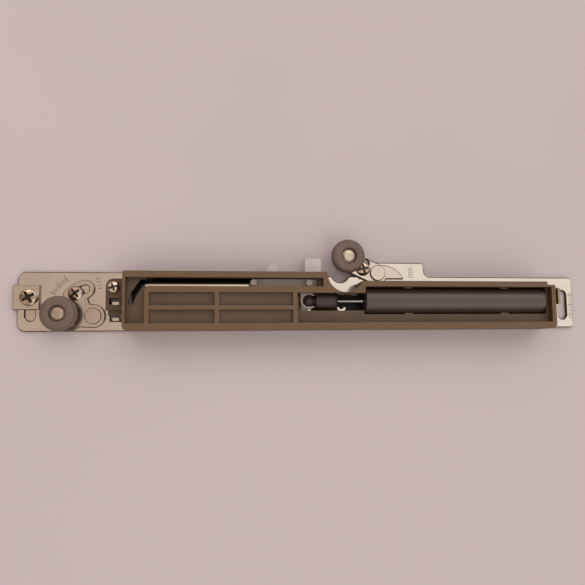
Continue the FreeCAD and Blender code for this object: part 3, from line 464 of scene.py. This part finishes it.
# boxes inside the housing whose faces are painted near-black, as painted shade
hollows = [(Vector((-83.0, -12.3, 0.0)) * MM, Vector((4.6, 12.3, 10.2)) * MM),
           (Vector((3.4, -12.3, 0.0)) * MM, Vector((113.0, 7.9, 10.2)) * MM)]
# the top band of the rim is paler than the moulding below it
rim_band_depth = 0.3 * MM
rim_top_colour = rgb(0.138, 0.081, 0.041)
hollow_shade_colour = rgb(0.022, 0.015, 0.011)
taupe = moulded("taupe_nylon", rgb(0.106, 0.066, 0.038), rgb(0.086, 0.054, 0.031), roughness=0.50,
                rim_band=(housing_rim - rim_band_depth, rim_top_colour), painted_shade=(hollows, hollow_shade_colour))
dressed("housing", "housing_moulding", taupe, "base", edge=MOULD_EDGE)


# Damper: a black anodised tube with a pressed cap at the closed end, and a gland that carries the
# rod's seal at the other. It lies in the housing's saddles under four snap nubs.
TURNED_SHARP = math.radians(30.0)
CORNER_STEPS = 6
ALONG_ROD = Vector((1, 0, 0))
UPRIGHT = Vector((0, 0, 1))


def turned(name, profile, origin, axis, finish, body, node, steps):
    """A turned piece: (distance along the axis, radius) pairs in millimetres, spun about the axis."""
    work = bmesh.new()
    side = UPRIGHT if axis == ALONG_ROD else ALONG_ROD
    ring = [work.verts.new(axis * (s * MM) + side * (r * MM)) for s, r in profile]
    loop = list(zip(ring, ring[1:]))
    if profile[0][1] > 0 or profile[-1][1] > 0:
        loop.append((ring[-1], ring[0]))
    edges = [work.edges.new(pair) for pair in loop]
    bmesh.ops.spin(work, geom=ring + edges, axis=axis, cent=(0, 0, 0), angle=math.tau, steps=steps)
    bmesh.ops.remove_doubles(work, verts=work.verts, dist=SEAM)
    bmesh.ops.recalc_face_normals(work, faces=work.faces)
    bmesh.ops.translate(work, verts=work.verts, vec=Vector(origin))
    piece = built(name, work)
    finish_piece(piece, finish, body, TURNED_SHARP)
    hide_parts(node)


def rounded(corner, before, after, radius):
    """Points of a rounded corner of a profile, between its neighbours."""
    corner, before, after = Vector(corner), Vector(before), Vector(after)
    inward = (before - corner).normalized()
    outward = (after - corner).normalized()
    half = inward.angle(outward) / 2
    reach = radius / math.tan(half)
    centre = corner + (inward + outward).normalized() * (radius / math.sin(half))
    start = corner + inward * reach - centre
    stop = corner + outward * reach - centre
    sweep = start.angle_signed(stop)
    points = []
    for step in range(CORNER_STEPS + 1):
        spin = Matrix.Rotation(-sweep * step / CORNER_STEPS, 2)
        points.append(tuple(centre + spin @ start))
    return points


def eased_profile(corners, radii):
    """A profile with some of its corners rounded, given by their place in the list."""
    points = []
    for index, corner in enumerate(corners):
        if index in radii:
            after = corners[(index + 1) % len(corners)]
            points += rounded(corner, corners[index - 1], after, radii[index])
        else:
            points.append(corner)
    return points


tube_black = moulded("black_anodised", rgb(0.062, 0.042, 0.030), rgb(0.050, 0.034, 0.024),
                     roughness=0.32, grain=0.3, sheen=0.6)
black = moulded("black_moulding", rgb(0.050, 0.038, 0.032), rgb(0.036, 0.027, 0.023), roughness=0.48)
tube_low, tube_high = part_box("damper_cylinder")
axis_y = (tube_low.y + tube_high.y) / 2
axis_z = (tube_low.z + tube_high.z) / 2
damper_axis = (0.0, axis_y, axis_z)
tube_start = tube_low.x / MM
tube_end = tube_high.x / MM
tube_bore = 5.0
tube_radius = 6.0
closed_round = 0.9
open_round = 0.45
turned("damper_tube", eased_profile(
    [(tube_start, tube_bore), (tube_end, tube_bore), (tube_end, tube_radius), (tube_start, tube_radius)],
    {2: closed_round, 3: open_round}),
    damper_axis, ALONG_ROD, tube_black, "base", "damper_cylinder", steps=96)
for node, name, slot in (("damper_end_cap", "damper_cap", "black_moulding"),
                         ("damper_gland", "damper_gland_plug", "black_moulding"),
                         ("rod_seal", "rod_lip_seal", "seal_rubber")):
    dressed(node, name, black, "base", edge=0.1 * MM)


# Piston rod: ground steel wire with a moulded piston inside the tube, and a black adapter pressed
# on its outer end, whose ball sits in the catch's socket.
rod_steel = plated("ground_rod", rgb(0.31, 0.27, 0.24), rgb(0.26, 0.22, 0.20), roughness=0.08)
rod_low, rod_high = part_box("piston_rod")
rod_start = rod_low.x / MM
rod_end = rod_high.x / MM
rod_radius = 1.0
rod_ease = 0.15
turned("ground_rod", eased_profile(
    [(rod_start, 0.0), (rod_start, rod_radius), (rod_end, rod_radius), (rod_end, 0.0)],
    {1: rod_ease, 2: rod_ease}),
    damper_axis, ALONG_ROD, rod_steel, "rod", "piston_rod", steps=48)
dressed("piston", "piston_head", black, "rod", edge=0.15 * MM)
adapter_low, adapter_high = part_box("rod_end_adapter")
ball_radius = 2.6
neck_radius = 1.5
neck_reach = 3.2
collar_radius = 1.7
collar_length = 0.2
adapter_radius = 3.75
nose_radius = 2.35
nose_length = 1.4
shoulder_round = 0.35
nose_round = 0.25
socket_radius = 1.05
socket_depth = 4.0
ball_steps = 18
ball_x = adapter_low.x / MM + ball_radius
ball_sweep = math.pi - math.asin(neck_radius / ball_radius)
ball_angles = [ball_sweep * step / ball_steps for step in range(ball_steps + 1)]
ball_arc = [(ball_x - ball_radius * math.cos(angle), ball_radius * math.sin(angle))
            for angle in ball_angles]
adapter_start = ball_x + neck_reach
adapter_end = adapter_high.x / MM
collar = [(adapter_start - collar_length, neck_radius), (adapter_start, collar_radius)]
adapter_body = eased_profile(
    [(adapter_start, adapter_radius), (adapter_end - nose_length, adapter_radius),
     (adapter_end, nose_radius), (adapter_end, socket_radius),
     (adapter_end - socket_depth, socket_radius)],
    {1: shoulder_round, 2: nose_round})
turned("rod_adapter", ball_arc + collar + adapter_body + [(adapter_end - socket_depth, 0.0)],
       damper_axis, ALONG_ROD, black, "rod", "rod_end_adapter", steps=64)


# Tension spring: close-wound spring wire under the housing's ledge, hooked on a post of the housing
# and on a post of the catch, which it pulls home. The real spring stretches as the catch is drawn
# out; this one is a single fixed mesh.
def coil_tree():
    """A wire wound about Z: a spiral of one radius swept with a round section."""
    field, given = new_tree("wound_wire", Turns="Float", Radius="Float", Height="Float", Wire="Float",
                            Finish="Material")
    helix = field.make("GeometryNodeCurveSpiral", sockets={
        "Resolution": 14, "Rotations": given["Turns"], "Start Radius": given["Radius"],
        "End Radius": given["Radius"], "Height": given["Height"]})
    section = field.make("GeometryNodeCurvePrimitiveCircle", sockets={
        "Resolution": 7, "Radius": given["Wire"]})
    wire = field.make("GeometryNodeCurveToMesh", sockets={
        "Curve": helix, "Profile Curve": section, "Fill Caps": True})
    return end_tree(field, wire, given["Finish"])


def bent_wire(name, points, radius):
    """A smooth curve along its points with a round section."""
    curve = bpy.data.curves.new(name, "CURVE")
    curve.dimensions = "3D"
    curve.bevel_depth = radius
    curve.bevel_resolution = 2
    curve.use_fill_caps = True
    spline = curve.splines.new("NURBS")
    spline.points.add(len(points) - 1)
    for point, place in zip(spline.points, points):
        point.co = (*place, 1.0)
    spline.order_u = 3
    spline.use_endpoint_u = True
    spline.resolution_u = 6
    wire = placed(name, curve)
    mesh = bpy.data.meshes.new_from_object(wire.evaluated_get(bpy.context.evaluated_depsgraph_get()))
    bpy.data.objects.remove(wire)
    return placed(name, mesh)


spring_wire = plated("spring_wire", rgb(0.62, 0.58, 0.54), rgb(0.50, 0.47, 0.44), roughness=0.28)
spring_low, spring_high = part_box("tension_spring")
wire_radius = 0.3 * MM
eye = 1.35 * MM
spring_y = (spring_low.y + spring_high.y) / 2
spring_z = (spring_low.z + spring_high.z) / 2
coil_radius = (spring_high.z - spring_low.z) / 2 - wire_radius
near_post = spring_low.x + eye + wire_radius
far_post = spring_high.x - eye - wire_radius
coil_start = near_post + 2 * eye
coil_end = far_post - 2 * eye
coil_turns = 120.0
coil = grown("spring_coil", coil_tree(),
             Matrix.Translation((coil_start, spring_y, spring_z)) @ Matrix.Rotation(math.pi / 2, 4, "Y"),
             Turns=coil_turns, Radius=coil_radius, Height=coil_end - coil_start, Wire=wire_radius,
             Finish=spring_wire)
eye_turn = 300
eye_step = 30
eye_angles = [math.radians(angle - eye_turn / 2) for angle in range(0, eye_turn + 1, eye_step)]
leave_along = 1.2 * eye
leave_aside = 0.4 * eye
eyes = []
for post, start, side in ((near_post, coil_start, 1), (far_post, coil_end, -1)):
    ring = [(post - side * eye * math.cos(angle), spring_y + eye * math.sin(angle), spring_z)
            for angle in eye_angles]
    # the wire leaves the eye and climbs to the coil's first turn
    ring.append((post + side * leave_along, spring_y + leave_aside, spring_z))
    ring.append((start, spring_y, spring_z + coil_radius / 2))
    ring.append((start, spring_y, spring_z + coil_radius))
    eyes.append(bent_wire(f"spring_eye_{side}", ring, wire_radius))
spring = joined("pull_spring", [coil] + eyes)
spring.data.materials.append(spring_wire)
spring.data.shade_smooth()
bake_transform(spring)
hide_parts("tension_spring")


# Catch: a milky nylon slider in the housing's guide slot. Two pins run in the slot, a socket holds
# the rod's ball, and a tall tab and a low finger stand out to take the striker. Inside the housing
# it is painted darker as painted shade, and outside it is paler.
wall_inside = 11.0 * MM
wall_outside = 12.6 * MM
nylon, field, shader = new_finish("milky_nylon", IOR=1.53, Alpha=0.72, Specular_IOR_Level=0.3)
milk = field.noise(scale=120.0).band(0.3, 0.7)
outside = field.along("Y").band(wall_inside, wall_outside)
skin = field.noise(scale=2200.0, detail=2.0)
# inside the housing the nylon is painted darker, as painted shade; outside it has the lit colour
shaded_nylon = milk.blend(rgb(0.47, 0.40, 0.37), rgb(0.53, 0.45, 0.42))
lit_nylon = milk.blend(rgb(0.68, 0.60, 0.57), rgb(0.75, 0.67, 0.64))
wire_up(shader,
        Base_Color=outside.blend(shaded_nylon, lit_nylon),
        Roughness=0.42 + 0.12 * skin,
        Normal=skin.bump(strength=0.06, distance=0.08 * MM))
dressed("catch", "catch_slider", nylon, "slider", edge=MOULD_EDGE)


# Roller arms: blanked from plated strip, each riveted to the plate so that it turns stiffly, with
# a curved slot under its lock screw. They lie flat on the plate, a shade duller than it.
arm_back, arm_front = (corner.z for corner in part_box("left_roller_arm"))
# their cut edges take the same brown, partly the bare cut and partly painted shade
arm_nickel = plated("arm_nickel", rgb(0.76, 0.64, 0.53), rgb(0.69, 0.58, 0.48), roughness=0.10,
                    sheared=(arm_back, arm_front, cut_and_shade_brown))
arm_pinholes = {"left": (Vector((-103.55, -0.51)) * MM, 0.6 * MM)}
for side in ("left", "right"):
    dressed(f"{side}_roller_arm", f"{side}_arm_blank", arm_nickel, f"{side}_arm",
            edge=SHEET_EDGE, brow=arm_front, pinhole=arm_pinholes.get(side))


# Pivot rivets: low round heads, closed from behind by a flush tail. Each holds an arm to the plate.
# The heads are bright and faintly cloudy, and their chamfered rim is painted dark as painted shade.
def formed_head(name, bright, dull, rim=None):
    """A bright head, whose rim may be painted dark between two heights, as painted shade."""
    material, field, shader = new_finish(name, Metallic=1.0)
    clouds = field.noise(scale=220.0).band(0.35, 0.65)
    satin = field.noise(scale=2600.0, detail=2.0)
    colour = clouds.blend(dull, bright)
    # the rim is painted dark, as painted shade
    if rim:
        colour = field.along("Z").between(*rim, SHEAR_FADE).blend(colour, cut_and_shade_brown)
    wire_up(shader,
            Base_Color=colour,
            Roughness=0.09 + 0.06 * (1 - clouds),
            Normal=satin.bump(strength=0.02, distance=0.05 * MM))
    return material


def middle(node):
    """The foot of a node's own upright axis."""
    low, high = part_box(node)
    return ((low.x + high.x) / 2, (low.y + high.y) / 2, 0.0)


def heights(node):
    """A node's lowest and highest points in millimetres."""
    return [corner.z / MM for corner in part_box(node)]


rivet_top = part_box("left_pivot_rivet")[1].z
head_nickel = formed_head("rivet_nickel", rgb(0.72, 0.60, 0.49), rgb(0.66, 0.54, 0.44),
                          (plate_front, rivet_top))
plate_sheet = 1.6
rivet_tail = 2.0
rivet_shank = 2.5
rivet_seat = 3.2
rivet_head = 3.6
rivet_chamfer = 0.3
rivet_ease = 0.1
for side in ("left", "right"):
    node = f"{side}_pivot_rivet"
    top = heights(node)[1]
    turned(f"{side}_rivet", eased_profile(
        [(0.0, 0.0), (0.0, rivet_tail), (plate_sheet, rivet_tail), (plate_sheet, rivet_shank),
         (rivet_seat, rivet_shank), (rivet_seat, rivet_head), (top - rivet_chamfer, rivet_head),
         (top, rivet_head - rivet_chamfer), (top, 0.0)], {6: rivet_ease, 7: rivet_ease}),
        middle(node), UPRIGHT, head_nickel, "base", node, steps=72)


# Screws: domed pan heads with a cross recess. One holds the housing's lug, one locks each arm in
# its slot, and a larger one draws the end clamp down. The lug's screw is bright and the others are
# duller, and their recesses are painted near-black as painted shade.
SCREW_WELD = 0.0002 * MM
SCREW_SHARP = math.radians(35.0)
SHANK_SHARE = 0.48
RECESS_SHARE = 0.70
WING_SHARE = 0.46
DEPTH_SHARE = 1.1
SHOULDER_POWER = 0.55


def screw_tree():
    """A domed head on a plain shank, with a cross sunk into it."""
    field, given = new_tree("cross_recess_screw", Head_Radius="Float", Rise="Float", Shank_Radius="Float",
                            Shank_Length="Float", Recess="Float", Finish="Material",
                            Recess_Finish="Material")
    head = given["Head_Radius"]
    rise = given["Rise"]
    recess = given["Recess"]
    shank_length = given["Shank_Length"]

    def moved(shape, lift, turn=0.0):
        return field.make("GeometryNodeTransform", sockets={
            "Geometry": shape, "Translation": field.vector(0.0, 0.0, lift), "Rotation": (0.0, 0.0, turn)})

    def coated(shape, finish):
        return field.make("GeometryNodeSetMaterial", sockets={"Geometry": shape, "Material": given[finish]})

    def welded(shape):
        return field.make("GeometryNodeMergeByDistance", sockets={
            "Geometry": shape, "Distance": SCREW_WELD})

    ball = field.make("GeometryNodeMeshUVSphere", sockets={"Segments": 64, "Rings": 32, "Radius": 1.0})
    x, y, z = field.make("GeometryNodeInputPosition").parts()
    # a superellipse: the sphere's height is raised to a low power, which squares its shoulder
    lift = field.maths("POWER", field.maths("MAXIMUM", z, 0.0), SHOULDER_POWER)
    dome = field.make("GeometryNodeSetPosition", sockets={
        "Geometry": ball, "Position": field.vector(x * head, y * head, lift * rise)})
    carved = coated(welded(dome), "Finish")
    for turn in (0.0, math.pi / 2):
        bar = field.make("GeometryNodeMeshCube", sockets={
            "Size": field.vector(recess * 2.0, recess * WING_SHARE, rise * DEPTH_SHARE)})
        carved = field.make("GeometryNodeMeshBoolean", {"operation": "DIFFERENCE", "solver": "MANIFOLD"}, {
            "Mesh 1": carved, "Mesh 2": coated(moved(bar, rise, turn), "Recess_Finish")})
    shank = field.make("GeometryNodeMeshCylinder", sockets={
        "Vertices": 40, "Radius": given["Shank_Radius"], "Depth": shank_length})
    stem = coated(moved(shank, shank_length * -0.5), "Finish")
    screw = field.make("GeometryNodeJoinGeometry", sockets={0: welded(carved)})
    field.tree.links.new(stem.socket, screw.socket.node.inputs[0])
    return end_tree(field, screw)


screw_nickel = formed_head("screw_nickel", rgb(0.78, 0.66, 0.54), rgb(0.60, 0.48, 0.37))
dark_screw = formed_head("dark_screw", rgb(0.58, 0.46, 0.35), rgb(0.30, 0.22, 0.16))
# the cross recesses' colour: near-black painted shade
recess_painted_shade, field, shader = new_finish("screw_recess", Metallic=1.0)
wire_up(shader,
        Base_Color=field.noise(scale=900.0).band(0.3, 0.7).blend(
            rgb(0.03, 0.022, 0.018), rgb(0.08, 0.06, 0.045)),
        Roughness=0.3 + 0.2 * field.noise(scale=1500.0))
screws = screw_tree()
small_rise = 1.9 * MM
large_rise = 2.2 * MM
for node, name, body, finish, rise, turn in (
        ("housing_screw", "lug_screw", "base", screw_nickel, small_rise, 20.0),
        ("left_lock_screw", "left_arm_screw", "base", dark_screw, small_rise, 40.0),
        ("right_lock_screw", "right_arm_screw", "base", dark_screw, small_rise, 12.0),
        ("end_clamp_screw", "clamp_screw", "clamp", dark_screw, large_rise, 32.0)):
    low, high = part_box(node)
    head = (high.x - low.x) / 2
    seat = high.z - rise
    place = Matrix.Translation((*middle(node)[:2], seat)) @ Matrix.Rotation(math.radians(turn), 4, "Z")
    screw = grown(name, screws, place, Head_Radius=head, Rise=rise, Shank_Radius=head * SHANK_SHARE,
                  Shank_Length=seat - low.z, Recess=head * RECESS_SHARE, Finish=finish,
                  Recess_Finish=recess_painted_shade)
    screw.data.shade_smooth()
    screw.data.set_sharp_from_angle(angle=SCREW_SHARP)
    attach(screw, body)
    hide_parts(node)


# Rollers: acetal rings with well-rounded rims and a sunk middle, each on a thin brass bush that
# turns on an axle riveted into its arm. Satin grey-brown, with a faint sheen round the rim.
acetal = moulded("grey_acetal", rgb(0.160, 0.109, 0.087), rgb(0.132, 0.089, 0.071), roughness=0.42,
                 grain=0.6)
bush_brass = formed_head("bush_brass", rgb(0.40, 0.31, 0.22), rgb(0.30, 0.23, 0.16))
axle_nickel = formed_head("axle_nickel", rgb(0.66, 0.55, 0.44), rgb(0.52, 0.42, 0.32))
foot_round = 2.8
rim_round = 2.2
recess_depth = 2.0
recess_mouth = 3.6
recess_foot = 3.45
mouth_drop = 0.1
mouth_round = 0.4
recess_round = 0.25
bush_bore = 1.95
bush_radius = 2.65
bush_flange = 2.9
flange_sheet = 0.3
flange_ease = 0.1
axle_pin = 1.9
axle_shoulder = 3.0
shoulder_low = 3.15
shoulder_high = 5.3
axle_head = 2.4
axle_head_rise = 1.0
axle_head_ease = 0.35
for side in ("left", "right"):
    node = f"{side}_roller"
    low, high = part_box(node)
    base, top = heights(node)
    rim = (high.x - low.x) / 2 / MM
    floor = top - recess_depth
    turned(f"{side}_guide_roller", eased_profile(
        [(base, bush_radius), (base, rim), (top, rim), (top - mouth_drop, recess_mouth),
         (floor, recess_foot), (floor, bush_radius)],
        {1: foot_round, 2: rim_round, 3: mouth_round, 4: recess_round}),
        middle(node), UPRIGHT, acetal, f"{side}_wheel", node, steps=128)
    node = f"{side}_roller_bush"
    base, top = heights(node)
    flange_low = top - flange_sheet
    turned(f"{side}_sleeve", eased_profile(
        [(base, bush_bore), (base, bush_radius), (flange_low, bush_radius), (flange_low, bush_flange),
         (top, bush_flange), (top, bush_bore)], {4: flange_ease}),
        middle(node), UPRIGHT, bush_brass, f"{side}_wheel", node, steps=64)
    node = f"{side}_roller_axle"
    base, top = heights(node)
    head_low = top - axle_head_rise
    turned(f"{side}_axle", eased_profile(
        [(base, 0.0), (base, axle_pin), (shoulder_low, axle_pin), (shoulder_low, axle_shoulder),
         (shoulder_high, axle_shoulder), (shoulder_high, axle_pin), (head_low, axle_pin),
         (head_low, axle_head), (top, axle_head), (top, 0.0)], {8: axle_head_ease}),
        middle(node), UPRIGHT, axle_nickel, f"{side}_arm", node, steps=64)


# End clamp: a bent tab of plated sheet, which grips the plate's left edge, and a flat nut behind the
# slot. Its cut edge and bend are brown, partly the bare cut and partly painted shade. It slides
# in the slot, and the screw draws the two together.
clamp_back, clamp_front = (corner.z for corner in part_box("end_clamp"))
# the clamp's cut edge and bend: partly the bare cut, partly painted shade
clamp_cut_and_shade = rgb(0.34, 0.24, 0.15)
clamp_plating = plated("clamp_plating", rgb(0.78, 0.66, 0.54), rgb(0.70, 0.59, 0.47), roughness=0.10,
                       drawn=0.6, sheared=(clamp_back, clamp_front, clamp_cut_and_shade))
dressed("end_clamp", "clamp_tab", clamp_plating, "clamp", edge=SHEET_EDGE,
        brow=clamp_front)
dressed("end_clamp_nut", "clamp_nut", arm_nickel, "clamp", edge=0.12 * MM)


# Studio: a pale table in an evenly lit room that is warmer and dimmer on the left, with a soft lamp
# at the upper left, and a camera that looks down from just left of the part's middle.
table_reach = 2.0
work = bmesh.new()
bmesh.ops.create_grid(work, x_segments=2, y_segments=2, size=table_reach)
table = built("table_top", work)
paper, field, shader = new_finish("pale_table", Specular_IOR_Level=0.25)
wire_up(shader,
        Base_Color=field.noise(scale=5.0).band(0.3, 0.7).blend(
            rgb(0.548, 0.478, 0.486), rgb(0.574, 0.501, 0.509)),
        Roughness=0.6 + 0.1 * field.noise(scale=300.0))
table.data.materials.append(paper)

world = bpy.data.worlds.new("warm_room")
scene.world = world
world.use_nodes = True
room = Field(world.node_tree)
# the room by direction: warmer and dimmer on the left, brightest overhead, with two lit walls
across, aside, height = room.make("ShaderNodeTexCoord", output="Generated").parts()
warm_tone = rgb(0.55, 0.46, 0.40)
cool_tone = rgb(0.94, 0.91, 0.90)
far_wall = 0.85
near_wall = 0.60
low_light = 0.16
tone = across.band(-0.24, 0.24).blend(warm_tone, cool_tone)
walls = far_wall * aside.band(0.18, 0.40) + near_wall * (0.0 - aside).band(0.06, 0.30)
glow = (low_light + (1 - low_light) * height.band(0.12, 0.62)) * (1 + walls)
wire_up(world.node_tree.nodes["Background"], Color=tone, Strength=glow)

lamp_place = Vector((-0.55, 0.80, 0.80))
lamp_data = bpy.data.lights.new("upper_left", "AREA")
lamp_data.shape = "SQUARE"
lamp_data.size = 0.7
lamp_data.energy = 1.2
lamp_data.color = (1.0, 0.95, 0.92)
lamp = placed("upper_left", lamp_data)
lamp.location = lamp_place
lamp.rotation_euler = (-lamp_place).to_track_quat("-Z", "Y").to_euler()

# the picture's pixel straight below the camera gives its tilt, and the roll turns it about that line
picture = 585.0
middle_px = picture / 2
below_px = (219.2, 347.0)
roll = math.radians(-0.536)
camera_place = Vector((-42.37, -20.29, 269.36)) * MM
sensor = 36.0
down = Vector(((below_px[0] - middle_px) / picture, (below_px[1] - middle_px) / picture, 1.0))
down.normalize()
east = Vector((math.cos(roll), math.sin(roll), 0.0))
east = (east - down * east.dot(down)).normalized()
up = -down
north = up.cross(east)
stance = Matrix((east, north, up)) @ Matrix.Diagonal((1, -1, -1))
camera_data = bpy.data.cameras.new("view")
camera_data.sensor_width = sensor
camera_data.lens = sensor
camera_data.clip_start = 0.01
camera = placed("view", camera_data)
camera.matrix_world = Matrix.Translation(camera_place) @ stance.to_4x4()
scene.camera = camera
